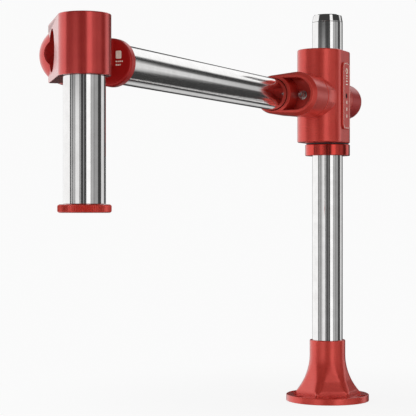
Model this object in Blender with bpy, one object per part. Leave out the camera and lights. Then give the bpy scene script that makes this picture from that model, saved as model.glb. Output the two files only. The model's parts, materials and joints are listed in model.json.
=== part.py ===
"""Tube arm stand: a flanged column, a swivelling sleeve, an offset arm and a clamped drop tube.

Metres, +Z up. The origin is the centre of the base's underside, on the column's axis. The arm
runs along -Y. Pieces that touch keep GAP between them. Every object is one closed solid.
"""
import math

import bmesh
import bpy
from mathutils import Matrix, Vector

MM = 0.001
GAP = 0.3 * MM

# Driving dimensions
TUBE_R = 19.0 * MM
TUBE_BORE_R = 17.0 * MM
FIT_R = TUBE_R + GAP
SPIGOT_R = TUBE_BORE_R - GAP
LINER_R = 21.0 * MM
COLUMN_TOP = 483.5 * MM
ARM_Z = 377.3 * MM
ARM_X = -29.5 * MM
ARM_FACE = 510.0 * MM
HEAD_ANGLE = math.radians(-52.3)
HEAD_START = Vector((ARM_X, -489.0 * MM, 385.5 * MM))

# Screws
GRUB_R = 2.5 * MM
GRUB_BORE_R = 2.8 * MM

# Segments of round pieces
FINE = 48
MEDIUM = 24
COARSE = 12

# Base
FLANGE_R = 51.8 * MM
FLANGE_T = 8.0 * MM
NECK_R = 22.3 * MM
NECK_TOP = 76.0 * MM
SOCKET_FLOOR = 12.0 * MM
FLARE_R = 69.0 * MM
FLARE_TOP = 58.0 * MM
BOLTS = 6
BOLT_CIRCLE_R = 45.0 * MM
BOLT_HOLE_R = 3.3 * MM
FACET_HALF_WIDTH = 19.0 * MM
FACET_FLANK_MM = (
    (23.4, 46.0), (25.4, 34.0), (28.0, 26.0), (34.6, 13.5), (34.6, 7.7), (70.0, 7.7), (70.0, 46.0)
)
BASE_SCREW_Z = 65.0 * MM
TOP_CAP_HEIGHT = 9.0 * MM
TOP_CAP_SPIGOT = 14.0 * MM

# Collar and sleeve
HOUSING_R = 28.0 * MM
COLLAR_Z = (307.0 * MM, 321.0 * MM)
COLLAR_SCREW_Y = 23.7 * MM
WASHER_R = 26.5 * MM
WASHER_Z = (321.3 * MM, 322.3 * MM)
SLEEVE_Z = (322.6 * MM, 437.0 * MM)
SLEEVE_FRONT = -27.0 * MM
BUSH_LENGTH = 25.0 * MM
BOSS_R = 26.0 * MM
BOSS_END = 65.7 * MM
PLATE_Y = -13.5 * MM
PLATE_Z = 380.5 * MM
PLATE_WIDTH = 25.0 * MM
PLATE_HEIGHT = 83.0 * MM
PLATE_T = 2.0 * MM
SET_SCREW_R = 3.0 * MM
SET_SCREW_BORE_R = 3.3 * MM

# Lock behind the sleeve, measured along +Y
KNOB_Z = 379.0 * MM
REAR_R = 22.5 * MM
REAR_BOSS_END = 33.0 * MM
KNOB_END = 70.0 * MM
KNOB_ROUND_R = 5.0 * MM
LOCK_STUD_R = 5.0 * MM
LOCK_STUD_Y = (25.5 * MM, 58.5 * MM)
LOCK_PAD_R = 4.8 * MM
LOCK_PAD_Y = (19.4 * MM, 25.2 * MM)
LOCK_BORE_R = LOCK_STUD_R + GAP

# Link block, measured along the arm from the column's axis
LINK_BACK = 67.5 * MM
LINK_FACE = 111.0 * MM
LINK_R = 26.2 * MM
LINK_TUBE_R = 23.2 * MM
POCKET_R = 19.2 * MM
POCKET_WALL_R = 23.5 * MM
POCKET_FLOOR = 85.0 * MM
LINK_SCREWS_Y = (-82.0 * MM, -98.0 * MM)
PIVOT_R = 7.0 * MM
PIVOT_START = 30.0 * MM
PIVOT_END = 79.0 * MM
PIVOT_SCREW_R = 2.5 * MM
PIVOT_SCREW_BORE_R = 2.8 * MM
PIVOT_HEAD_R = 4.4 * MM
PIVOT_HEAD_T = 5.0 * MM

# End block
END_R = 22.8 * MM
END_BACK = 501.0 * MM
PLUG_LENGTH = 46.0 * MM
BADGE_X = -20.0 * MM
BADGE_Z = 384.0 * MM
BADGE_SIZE_MM = (5.7, 7.5)
PAD_R = 12.0 * MM
PAD_FACE = 23.0 * MM

# Head: along = from the rear edge to the drop tube, across = out from the arm
HEAD_R = 23.8 * MM
HEAD_ALONG = 78.7 * MM
HEAD_ACROSS = 45.0 * MM
HEAD_INNER = 25.0 * MM
HEAD_OUTER = HEAD_ACROSS + HEAD_R
HEAD_HALF_HEIGHT = 27.5 * MM
TILT_ALONG = 19.0 * MM
CROSS_ALONG = 31.0 * MM
CROSS_R = 20.0 * MM
CROSS_FLOOR = 31.0 * MM
BULGE_R = 28.3 * MM
BULGE_CENTRE = (-1.5 * MM, 49.0 * MM)
BULGE_LENGTH = 17.0 * MM
BULGE_CURVE_R = 17.7 * MM
HEAD_SCREW_HEIGHT = 14.0 * MM
STUD_R = 4.0 * MM
STUD_START = 13.8 * MM
STUD_END = 43.0 * MM
NUT_R = 7.5 * MM
NUT_T = 6.5 * MM
TILT_WASHER_T = 1.6 * MM

# Drop tube
DROP_BOTTOM = 244.3 * MM
DROP_TOP = 405.0 * MM
CAP_Z = (236.5 * MM, 244.0 * MM)
CAP_R = 24.2 * MM
CAP_TEETH = 36
CAP_TOOTH = 0.9 * MM

RED = ("red_anodised", (0.50, 0.035, 0.028), 0.32, 0.75)
STEEL = ("polished_steel", (0.80, 0.80, 0.80), 0.10, 1.0)
DARK = ("black_steel", (0.03, 0.03, 0.032), 0.40, 0.8)
ZINC = ("zinc_steel", (0.55, 0.55, 0.56), 0.30, 1.0)
POLYMER = ("polymer", (0.06, 0.06, 0.065), 0.55, 0.0)
BRASS = ("brass", (0.68, 0.50, 0.22), 0.35, 1.0)
PALE = ("pale_enamel", (0.85, 0.84, 0.80), 0.50, 0.0)


def clear_scene():
    for obj in list(bpy.data.objects):
        bpy.data.objects.remove(obj, do_unlink=True)


def frame(x_axis, y_axis, z_axis, origin):
    """The placement whose local axes are the three given world directions."""
    turn = Matrix((x_axis, y_axis, z_axis)).transposed()
    return Matrix.Translation(origin) @ turn.to_4x4()


ALONG = Vector((math.cos(HEAD_ANGLE), math.sin(HEAD_ANGLE), 0.0))
UP = Vector((0.0, 0.0, 1.0))
ACROSS = ALONG.cross(UP)
WORLD = Matrix.Identity(4)
FORWARD = frame((1, 0, 0), (0, 0, 1), (0, -1, 0), Vector((0, 0, ARM_Z)))
TUBE_FORWARD = frame((1, 0, 0), (0, 0, 1), (0, -1, 0), Vector((ARM_X, 0, ARM_Z)))
BACKWARD = frame((0, 0, 1), (1, 0, 0), (0, 1, 0), Vector((0, 0, KNOB_Z)))
HEAD_PLAN = frame(ALONG, UP.cross(ALONG), UP, HEAD_START)


def head_point(along, across, height=0.0):
    return HEAD_START + ALONG * along + ACROSS * across + UP * height


DROP_AXIS = head_point(HEAD_ALONG, HEAD_ACROSS)
TILT_SIDE = frame(ALONG, UP, ACROSS, head_point(TILT_ALONG, 0.0))
CROSS_SIDE = frame(ALONG, UP, ACROSS, head_point(CROSS_ALONG, 0.0))
HEAD_REAR = frame(UP, ACROSS, ALONG, HEAD_START)
DROP = Matrix.Translation((DROP_AXIS.x, DROP_AXIS.y, 0.0))


def material(look):
    name, colour, roughness, metallic = look
    found = bpy.data.materials.get(name)
    if found:
        return found
    made = bpy.data.materials.new(name)
    made.use_nodes = True
    shader = made.node_tree.nodes["Principled BSDF"]
    shader.inputs["Base Color"].default_value = (*colour, 1.0)
    shader.inputs["Roughness"].default_value = roughness
    shader.inputs["Metallic"].default_value = metallic
    return made


def arc(centre, radius, start, end, steps):
    """Points on an arc in the plane, angles in degrees, both ends included."""
    points = []
    for i in range(steps + 1):
        angle = math.radians(start + (end - start) * i / steps)
        points.append((centre[0] + radius * math.cos(angle), centre[1] + radius * math.sin(angle)))
    return points


def circle(radius, z, count=FINE, centre=(0.0, 0.0)):
    return [(x, y, z) for x, y in arc(centre, radius, 0, 360, count)[:-1]]


def hexagon(radius, z, count=COARSE):
    """A hexagon with `count` points spread along its six sides."""
    per_side = count // 6
    points = []
    for i in range(count):
        side, step = divmod(i, per_side)
        start = math.radians(60 * side)
        end = math.radians(60 * (side + 1))
        share = step / per_side
        x = radius * (math.cos(start) * (1 - share) + math.cos(end) * share)
        y = radius * (math.sin(start) * (1 - share) + math.sin(end) * share)
        points.append((x, y, z))
    return points


def two_circles(left, left_r, right, right_r, z, steps=18):
    """The outline that a belt makes round two circles on the local X axis."""
    lean = math.degrees(math.asin((right_r - left_r) / (right - left)))
    outline = arc((right, 0.0), right_r, -90 - lean, 90 + lean, steps)
    outline += arc((left, 0.0), left_r, 90 + lean, 270 - lean, steps)
    return [(x, y, z) for x, y in outline]


def rounded_rectangle(width, height, radius, z, steps=5):
    outline = []
    for i, (sx, sy) in enumerate(((1, 1), (-1, 1), (-1, -1), (1, -1))):
        corner = (sx * (width / 2 - radius), sy * (height / 2 - radius))
        outline += arc(corner, radius, 90 * i, 90 * i + 90, steps)
    return [(x, y, z) for x, y in outline]


def raised(outline, z):
    return [(x, y, z) for x, y in outline]


def loft(name, rings, placement, look, ring_shaped=False, smooth=35):
    """A closed solid through rings of equal length, capped unless it is ring shaped."""
    bm = bmesh.new()
    rows = [[bm.verts.new(point) for point in points] for points in rings]
    pairs = list(zip(rows, rows[1:]))
    if ring_shaped:
        pairs.append((rows[-1], rows[0]))
    else:
        bm.faces.new(list(reversed(rows[0])))
        bm.faces.new(rows[-1])
    for low, high in pairs:
        for i in range(len(low)):
            j = (i + 1) % len(low)
            bm.faces.new((low[i], low[j], high[j], high[i]))
    bmesh.ops.recalc_face_normals(bm, faces=bm.faces)
    mesh = bpy.data.meshes.new(name)
    bm.to_mesh(mesh)
    bm.free()
    mesh.shade_smooth()
    mesh.set_sharp_from_angle(angle=math.radians(smooth))
    mesh.materials.append(material(look))
    obj = bpy.data.objects.new(name, mesh)
    obj.matrix_world = placement
    bpy.context.scene.collection.objects.link(obj)
    return obj


def turned(name, profile, placement, look, count=FINE, ring_shaped=False):
    """A solid of revolution about the local Z axis, through (radius, z) points."""
    rings = [circle(radius, z, count) for radius, z in profile]
    return loft(name, rings, placement, look, ring_shaped)


def ring(name, inner, outer, low, high, placement, look, count=FINE, chamfer=0.0):
    profile = [(inner, low), (outer - chamfer, low), (outer, low + chamfer)]
    profile += [(outer, high - chamfer), (outer - chamfer, high), (inner, high)]
    if not chamfer:
        profile = [(inner, low), (outer, low), (outer, high), (inner, high)]
    return turned(name, profile, placement, look, count, ring_shaped=True)


def tool(shape):
    """Marks a solid as a Boolean operand, which is not a piece itself."""
    shape.hide_render = True
    shape.display_type = "WIRE"
    return shape


def peg(radius, low, high, placement, count=FINE, centre=(0.0, 0.0)):
    rings = [circle(radius, low, count, centre), circle(radius, high, count, centre)]
    return tool(loft("peg", rings, placement, RED))


def block(x_range, y_range, z_range, placement):
    corners = [(x_range[0], y_range[0]), (x_range[1], y_range[0])]
    corners += [(x_range[1], y_range[1]), (x_range[0], y_range[1])]
    rings = [raised(corners, z_range[0]), raised(corners, z_range[1])]
    return tool(loft("block", rings, placement, RED))


def combine(obj, operation, *operands):
    for operand in operands:
        modifier = obj.modifiers.new(operation.lower(), "BOOLEAN")
        modifier.operation = operation
        modifier.solver = "EXACT"
        modifier.object = operand
    return obj


def cut(obj, *cutters):
    return combine(obj, "DIFFERENCE", *cutters)


def join(obj, *extras):
    return combine(obj, "UNION", *extras)


def socket_screw(name, placement, shank, head, socket_r, look):
    """Shank and head are (radius, low z, high z); the hexagon socket opens at the top."""
    shank_r, shank_low, shank_high = shank
    head_r, head_low, head_high = head
    edge = 0.4 * MM
    depth = 0.55 * (head_high - head_low)
    rings = [circle(shank_r - edge, shank_low, COARSE)]
    rings.append(circle(shank_r, shank_low + edge, COARSE))
    rings.append(circle(shank_r, shank_high, COARSE))
    if head_r > shank_r:
        rings.append(circle(head_r, head_low, COARSE))
    rings.append(circle(head_r, head_high - edge, COARSE))
    rings.append(circle(head_r - edge, head_high, COARSE))
    rings.append(hexagon(socket_r, head_high))
    rings.append(hexagon(socket_r, head_high - depth))
    return loft(name, rings, placement, look)


def grub_screw(name, placement, radius, low, high, look=DARK):
    middle = (low + high) / 2
    return socket_screw(name, placement, (radius, low, middle), (radius, middle, high), radius * 0.52, look)


def body(name, origin, *pieces):
    """An empty on the joint's axis, which carries the body's pieces."""
    empty = bpy.data.objects.new(name, None)
    empty.location = origin
    bpy.context.scene.collection.objects.link(empty)
    bpy.context.view_layer.update()
    for piece in pieces:
        kept = piece.matrix_world.copy()
        piece.parent = empty
        piece.matrix_parent_inverse = empty.matrix_world.inverted()
        piece.matrix_world = kept


def flare_profile():
    """The base's concave flank, from the neck down to the flange."""
    centre = (NECK_R + FLARE_R, FLARE_TOP)
    lowest = math.degrees(math.asin((FLARE_TOP - FLANGE_T - 0.5 * MM) / FLARE_R))
    return arc(centre, FLARE_R, 180, 180 + lowest, 9)


def base_facet(index):
    """Cuts one flank flat between two ribs, down to a spot face for the bolt."""
    sides = []
    for offset in (-FACET_HALF_WIDTH, FACET_HALF_WIDTH):
        sides.append([(r * MM, offset, z * MM) for r, z in FACET_FLANK_MM])
    turn = Matrix.Rotation(math.radians(360 / BOLTS * index), 4, "Z")
    return tool(loft("facet", sides, turn, RED))


def make_base():
    edge = 0.7 * MM
    profile = [(FIT_R, SOCKET_FLOOR), (FIT_R, NECK_TOP - edge), (FIT_R + edge, NECK_TOP)]
    profile += [(NECK_R - edge, NECK_TOP), (NECK_R, NECK_TOP - edge)]
    profile += flare_profile()
    profile += [(FLANGE_R - edge, FLANGE_T), (FLANGE_R, FLANGE_T - edge)]
    profile += [(FLANGE_R, edge), (FLANGE_R - edge, 0.0)]
    flange = turned("base_flange", profile, WORLD, RED)
    cut(flange, *[base_facet(i) for i in range(BOLTS)])
    for i in range(BOLTS):
        angle = math.radians(360 / BOLTS * i)
        centre = (BOLT_CIRCLE_R * math.cos(angle), BOLT_CIRCLE_R * math.sin(angle))
        cut(flange, peg(BOLT_HOLE_R, -5 * MM, 20 * MM, WORLD, COARSE, centre))
    screws = []
    rear = frame((0, 0, 1), (1, 0, 0), (0, 1, 0), Vector((0, 0, BASE_SCREW_Z)))
    left = frame((0, 1, 0), (0, 0, -1), (-1, 0, 0), Vector((0, 0, BASE_SCREW_Z)))
    for number, placement in enumerate((rear, left), 1):
        cut(flange, peg(GRUB_BORE_R, TUBE_BORE_R, NECK_R + 5 * MM, placement, COARSE))
        screws.append(grub_screw(f"base_grub_screw_{number}", placement, GRUB_R, FIT_R, NECK_R - 0.2 * MM))
    shoulder = COLUMN_TOP - TOP_CAP_HEIGHT
    tube = ring("column_tube", TUBE_BORE_R, TUBE_R, SOCKET_FLOOR + GAP, shoulder - GAP, WORLD, STEEL)
    profile = [(SPIGOT_R, shoulder - TOP_CAP_SPIGOT), (SPIGOT_R, shoulder), (TUBE_R, shoulder)]
    profile += [(TUBE_R, shoulder + 1 * MM), (TUBE_R - 1.4 * MM, COLUMN_TOP - 0.8 * MM)]
    profile += [(TUBE_R - 2.2 * MM, COLUMN_TOP)]
    cap = turned("column_top_cap", profile, WORLD, STEEL)
    body("base", (0, 0, 0), flange, tube, cap, *screws)


def make_collar():
    collar = ring("lock_collar", FIT_R, HOUSING_R, *COLLAR_Z, WORLD, RED, chamfer=1.2 * MM)
    middle = sum(COLLAR_Z) / 2
    slit = block((-1 * MM, 1 * MM), (15 * MM, 35 * MM), (COLLAR_Z[0] - 0.01, COLLAR_Z[1] + 0.01), WORLD)
    across = frame((0, 1, 0), (0, 0, 1), (1, 0, 0), Vector((0, COLLAR_SCREW_Y, middle)))
    hole = peg(2.3 * MM, -12 * MM, 12 * MM, across, COARSE)
    counterbore = peg(3.8 * MM, 9 * MM, 30 * MM, across, COARSE)
    cut(collar, slit, hole, counterbore)
    shank = (2.0 * MM, -11 * MM, 9.3 * MM)
    screw = socket_screw("collar_screw", across, shank, (3.5 * MM, 9.3 * MM, 13.3 * MM), 1.7 * MM, DARK)
    washer = ring("thrust_washer", TUBE_R + 0.5 * MM, WASHER_R, *WASHER_Z, WORLD, POLYMER)
    body("collar", (0, 0, middle), collar, screw, washer)


def make_sleeve():
    edge = 1.5 * MM
    low, high = SLEEVE_Z
    turn = Matrix.Rotation(math.radians(90), 4, "Z")
    levels = ((edge, low), (0.0, low + edge), (0.0, high - edge), (edge, high))
    rings = []
    for inset, z in levels:
        rings.append(two_circles(SLEEVE_FRONT, HOUSING_R - inset, 0.0, HOUSING_R - inset, z))
    housing = loft("sleeve_housing", rings, turn, RED)
    boss_profile = [(BOSS_R, 35 * MM), (BOSS_R, BOSS_END - 1 * MM), (BOSS_R - 1 * MM, BOSS_END)]
    rear_profile = [(REAR_R, 12 * MM), (REAR_R, REAR_BOSS_END - 1 * MM), (REAR_R - 1 * MM, REAR_BOSS_END)]
    join(housing, tool(turned("front_boss", boss_profile, FORWARD, RED)))
    join(housing, tool(turned("rear_boss", rear_profile, BACKWARD, RED)))
    screw = frame((0, 1, 0), (0, 0, 1), (1, 0, 0), Vector((0, PLATE_Y, PLATE_Z)))
    cut(housing, peg(LINER_R + GAP, low - 0.01, high + 0.01, WORLD))
    cut(housing, peg(PIVOT_R + GAP, PIVOT_START - GAP, BOSS_END + 5 * MM, FORWARD, MEDIUM))
    cut(housing, peg(LOCK_BORE_R, TUBE_R - 4 * MM, REAR_BOSS_END + 5 * MM, BACKWARD, COARSE))
    cut(housing, peg(SET_SCREW_BORE_R, TUBE_R - 7 * MM, HOUSING_R + 5 * MM, screw, COARSE))
    lower = (low + GAP, low + GAP + BUSH_LENGTH)
    upper = (high - GAP - BUSH_LENGTH, high - GAP)
    pieces = [housing]
    pieces.append(ring("lower_bush", FIT_R, LINER_R, *lower, WORLD, POLYMER))
    pieces.append(ring("upper_bush", FIT_R, LINER_R, *upper, WORLD, POLYMER))
    side = HOUSING_R + GAP
    edge = 0.6 * MM
    levels = ((0.0, side), (0.0, side + PLATE_T - edge), (edge, side + PLATE_T))
    rings = []
    for inset, z in levels:
        rings.append(rounded_rectangle(PLATE_WIDTH - 2 * inset, PLATE_HEIGHT - 2 * inset, 7 * MM - inset, z))
    plate = loft("side_plate", rings, screw, RED)
    pieces.append(cut(plate, peg(SET_SCREW_BORE_R, side - 5 * MM, side + 5 * MM, screw, COARSE)))
    pieces.append(grub_screw("side_set_screw", screw, SET_SCREW_R, TUBE_R + 0.8 * MM, side + 1.5 * MM))
    pieces += make_pivot()
    body("sleeve", (0, 0, low), *pieces)
    make_lock()


def make_pivot():
    """The shaft that the link block swings on, its friction washer and its end screw."""
    shaft_profile = [(PIVOT_R - 0.5 * MM, PIVOT_START), (PIVOT_R, PIVOT_START + 0.5 * MM), (PIVOT_R, PIVOT_END)]
    shaft_profile += [(PIVOT_SCREW_BORE_R, PIVOT_END), (PIVOT_SCREW_BORE_R, PIVOT_END - 15 * MM)]
    shaft = turned("pivot_shaft", shaft_profile, FORWARD, ZINC, MEDIUM)
    low, high = BOSS_END + GAP, LINK_BACK - GAP
    friction = ring("friction_washer", PIVOT_R + GAP, BOSS_R - 2 * MM, low, high, FORWARD, POLYMER, MEDIUM)
    low = POCKET_FLOOR + GAP
    high = low + 1.5 * MM
    washer = ring("pivot_washer", PIVOT_SCREW_BORE_R, 5.6 * MM, low, high, FORWARD, ZINC, MEDIUM)
    head_low = high + GAP
    shank = (PIVOT_SCREW_R, PIVOT_END - 13 * MM, head_low)
    head = (PIVOT_HEAD_R, head_low, head_low + PIVOT_HEAD_T)
    screw = socket_screw("pivot_screw", FORWARD, shank, head, 2.4 * MM, ZINC)
    return [shaft, friction, washer, screw]


def make_lock():
    """The knob behind the sleeve, whose stud presses a brass pad on the column."""
    pad_low, pad_high = LOCK_PAD_Y
    pad = turned("lock_pad", [(LOCK_PAD_R, pad_low), (LOCK_PAD_R, pad_high)], BACKWARD, BRASS, COARSE)
    low, high = LOCK_STUD_Y
    edge = 0.5 * MM
    stud_profile = [(LOCK_STUD_R - edge, low), (LOCK_STUD_R, low + edge)]
    stud_profile += [(LOCK_STUD_R, high - edge), (LOCK_STUD_R - edge, high)]
    stud = turned("lock_stud", stud_profile, BACKWARD, ZINC, COARSE)
    near = REAR_BOSS_END + GAP
    edge = 0.6 * MM
    profile = [(LOCK_BORE_R, high + edge), (LOCK_BORE_R, near), (REAR_R - edge, near), (REAR_R, near + edge)]
    profile += arc((REAR_R - KNOB_ROUND_R, KNOB_END - KNOB_ROUND_R), KNOB_ROUND_R, 0, 90, 4)
    knob = turned("lock_knob", profile, BACKWARD, RED)
    body("lock_pad_carrier", (0, pad_low, KNOB_Z), pad)
    body("lock_knob_turn", (0, REAR_BOSS_END, KNOB_Z), knob, stud)


def pocket_outline():
    """Round on the right, hollowed on the left to follow the tube's wall."""
    meet = math.degrees(math.asin(POCKET_R / POCKET_WALL_R))
    outline = arc((0.0, 0.0), POCKET_R, -90, 90, 16)
    outline += arc((ARM_X, 0.0), POCKET_WALL_R, meet, -meet, 10)
    return outline


def make_arm():
    levels = ((1.0, 1.0, LINK_BACK), (0.0, 0.0, LINK_BACK + 1 * MM))
    levels += ((0.0, 0.0, LINK_FACE - 5 * MM), (1.5, 3.5, LINK_FACE))
    rings = []
    for tube_inset, pivot_inset, z in levels:
        left_r = LINK_TUBE_R - tube_inset * MM
        right_r = LINK_R - pivot_inset * MM
        rings.append(two_circles(ARM_X, left_r, 0.0, right_r, z))
    link = loft("link_block", rings, FORWARD, RED)
    outline = pocket_outline()
    pocket_rings = [raised(outline, POCKET_FLOOR), raised(outline, LINK_FACE + 5 * MM)]
    tube_start = LINK_BACK + 5.5 * MM
    cut(link, tool(loft("pocket", pocket_rings, FORWARD, RED)))
    cut(link, peg(FIT_R, tube_start, LINK_FACE + 5 * MM, TUBE_FORWARD))
    cut(link, peg(PIVOT_R + GAP, LINK_BACK - 5 * MM, PIVOT_END + GAP, FORWARD, MEDIUM))
    cut(link, peg(PIVOT_SCREW_BORE_R, PIVOT_END - 5 * MM, POCKET_FLOOR + 5 * MM, FORWARD, COARSE))
    pieces = [link]
    screw_end = LINK_TUBE_R - 0.3 * MM
    for number, y in enumerate(LINK_SCREWS_Y, 1):
        place = frame((0, 1, 0), (0, 0, -1), (-1, 0, 0), Vector((ARM_X, y, ARM_Z)))
        cut(link, peg(GRUB_BORE_R, TUBE_BORE_R, LINK_TUBE_R + 5 * MM, place, COARSE))
        pieces.append(grub_screw(f"link_grub_screw_{number}", place, GRUB_R, FIT_R, screw_end))
    low, high = tube_start + GAP, END_BACK - GAP
    pieces.append(ring("arm_tube", TUBE_BORE_R, TUBE_R, low, high, TUBE_FORWARD, STEEL))
    pieces += make_end()
    body("arm", (0, 0, ARM_Z), *pieces)


def make_end():
    """The plug on the arm's far end, with the angled pad that carries the head's stud."""
    plug_start = END_BACK - PLUG_LENGTH
    profile = [(SPIGOT_R - 1 * MM, plug_start), (SPIGOT_R, plug_start + 1 * MM), (SPIGOT_R, END_BACK)]
    profile += [(END_R - 0.5 * MM, END_BACK), (END_R, END_BACK + 0.5 * MM), (END_R, ARM_FACE - 4 * MM)]
    profile += [(END_R - 0.8 * MM, ARM_FACE - 1.8 * MM), (END_R - 2.2 * MM, ARM_FACE)]
    end = turned("end_block", profile, TUBE_FORWARD, RED)
    join(end, peg(PAD_R, PAD_FACE - 16 * MM, PAD_FACE + 4 * MM, TILT_SIDE))
    beside_badge = block((-25 * MM, 10 * MM), (-540 * MM, -ARM_FACE - 0.05 * MM), (0.35, 0.42), WORLD)
    past_pad = block((-0.06, 0.06), (-0.06, 0.06), (PAD_FACE, PAD_FACE + 0.04), TILT_SIDE)
    cut(end, beside_badge, past_pad)
    cut(end, peg(STUD_R + GAP, STUD_START - GAP, PAD_FACE + 5 * MM, TILT_SIDE, COARSE))
    edge = 0.6 * MM
    profile = [(STUD_R - edge, STUD_START), (STUD_R, STUD_START + edge)]
    profile += [(STUD_R, STUD_END - edge), (STUD_R - edge, STUD_END)]
    stud = turned("head_pivot_stud", profile, TILT_SIDE, ZINC, COARSE)
    low = PAD_FACE + GAP
    friction = ring("head_friction_washer", STUD_R + GAP, PAD_R, low, HEAD_INNER - GAP, TILT_SIDE, POLYMER)
    low = CROSS_FLOOR + GAP
    high = low + TILT_WASHER_T
    washer = ring("head_pivot_washer", STUD_R + GAP, NUT_R + 0.1 * MM, low, high, TILT_SIDE, ZINC, MEDIUM)
    low = high + GAP
    high = low + NUT_T
    nut_rings = [circle(STUD_R + GAP, low, COARSE), hexagon(NUT_R, low)]
    nut_rings += [hexagon(NUT_R, high), circle(STUD_R + GAP, high, COARSE)]
    nut = loft("head_pivot_nut", nut_rings, TILT_SIDE, DARK, ring_shaped=True)
    place = frame((1, 0, 0), (0, 0, 1), (0, -1, 0), Vector((BADGE_X, 0, BADGE_Z)))
    badge_rings = []
    for inset, z in ((0.0, 0.3), (0.0, 0.7), (0.2, 0.9)):
        width, height = [(side - 2 * inset) * MM for side in BADGE_SIZE_MM]
        badge_rings.append(rounded_rectangle(width, height, (1.0 - inset) * MM, ARM_FACE + z * MM, 3))
    badge = loft("end_badge", badge_rings, place, PALE)
    return [end, stud, friction, washer, nut, badge]


def head_outline(inset):
    """Plan of the head: a straight rear part that runs into a round nose (along, -across)."""
    radius = HEAD_R - inset
    nose = (HEAD_ALONG, -HEAD_ACROSS)
    inner = -(HEAD_INNER + inset)
    meet = math.degrees(math.asin((inner + HEAD_ACROSS) / radius))
    outline = [(inset, inner), (inset, -(HEAD_OUTER - inset))]
    outline += arc(nose, radius, -90, 180 - meet, 30)
    return outline


def bulge_outline(inset):
    """The round rear of the head in (up, across), cut off at the head's inner face."""
    radius = BULGE_R - inset
    start = math.degrees(math.asin((HEAD_INNER + inset - BULGE_CENTRE[1]) / radius))
    return arc(BULGE_CENTRE, radius, start, 180 - start, 32)


def make_head():
    edge = 1.0 * MM
    half = HEAD_HALF_HEIGHT
    levels = ((edge, -half), (0.0, edge - half), (0.0, half - edge), (edge, half))
    rings = [raised(head_outline(inset), z) for inset, z in levels]
    head = loft("head_clamp", rings, HEAD_PLAN, RED)
    bulge_rings = [raised(bulge_outline(edge), 0.0)]
    for step in range(6):
        z = edge + (BULGE_LENGTH - edge) * step / 5
        bulge_rings.append(raised(bulge_outline(z * z / (2 * BULGE_CURVE_R)), z))
    join(head, tool(loft("bulge", bulge_rings, HEAD_REAR, RED)))
    cut(head, peg(CROSS_R, CROSS_FLOOR, BULGE_CENTRE[1] + BULGE_R + 5 * MM, CROSS_SIDE))
    cut(head, peg(STUD_R + 0.4 * MM, HEAD_INNER - 8 * MM, CROSS_FLOOR + 5 * MM, TILT_SIDE, COARSE))
    low = HEAD_START.z - half
    high = HEAD_START.z + half
    cut(head, peg(LINER_R + GAP, low - 0.01, high + 0.01, DROP))
    pieces = [head]
    for number, height in enumerate((-HEAD_SCREW_HEIGHT, HEAD_SCREW_HEIGHT), 1):
        inward = frame(ALONG, -UP, -ACROSS, head_point(HEAD_ALONG, HEAD_ACROSS, height))
        cut(head, peg(GRUB_BORE_R, TUBE_R, HEAD_R + 5 * MM, inward, COARSE))
        name = f"head_grub_screw_{number}"
        pieces.append(grub_screw(name, inward, GRUB_R, LINER_R + GAP, HEAD_R - 0.3 * MM))
    body("head", head_point(TILT_ALONG, 0.0), *pieces)
    liner = ring("drop_liner", FIT_R, LINER_R, low + 0.5 * MM, high - 0.5 * MM, DROP, POLYMER)
    body("liner", (DROP_AXIS.x, DROP_AXIS.y, low), liner)


def make_drop():
    tube = ring("drop_tube", TUBE_BORE_R, TUBE_R, DROP_BOTTOM, DROP_TOP, DROP, STEEL)
    profile = [(SPIGOT_R, DROP_TOP - 12 * MM), (SPIGOT_R, DROP_TOP + GAP), (TUBE_R - 0.2 * MM, DROP_TOP + GAP)]
    profile += [(TUBE_R - 0.2 * MM, DROP_TOP + 2 * MM), (TUBE_R - 1.2 * MM, DROP_TOP + 3 * MM)]
    plug = turned("drop_top_plug", profile, DROP, POLYMER)
    body("drop", (DROP_AXIS.x, DROP_AXIS.y, DROP_BOTTOM), tube, plug)
    low, high = CAP_Z
    count = 2 * CAP_TEETH
    rings = []
    for inset, z in ((2 * MM, low), (0.0, low + 1.2 * MM), (0.0, high - 1.2 * MM), (2 * MM, high)):
        points = circle(CAP_R - inset, z, count)
        if not inset:
            points = [Vector(p) * (1 if i % 2 else 1 - CAP_TOOTH / CAP_R) for i, p in enumerate(points)]
            points = [(p[0], p[1], z) for p in points]
        rings.append(points)
    rings.append(circle(SPIGOT_R, high, count))
    rings.append(circle(SPIGOT_R, high + 11 * MM, count))
    rings.append(circle(SPIGOT_R - 1 * MM, high + 12 * MM, count))
    cap = loft("knurled_cap", rings, DROP, RED, smooth=20)
    body("cap", (DROP_AXIS.x, DROP_AXIS.y, low), cap)


def main():
    clear_scene()
    make_base()
    make_collar()
    make_sleeve()
    make_arm()
    make_head()
    make_drop()


main()
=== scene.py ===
"""Looks of the column arm stand: fine surfaces, materials, marks, light and camera.

Metres, +Z up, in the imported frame. The arm runs along -Y from the column. A fine surface stands
for its CAD node and keeps inside it. Edges are rounded, because edges are what catch the light.
"""
import json
import math

import bmesh
import bpy
from mathutils import Matrix, Vector


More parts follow.
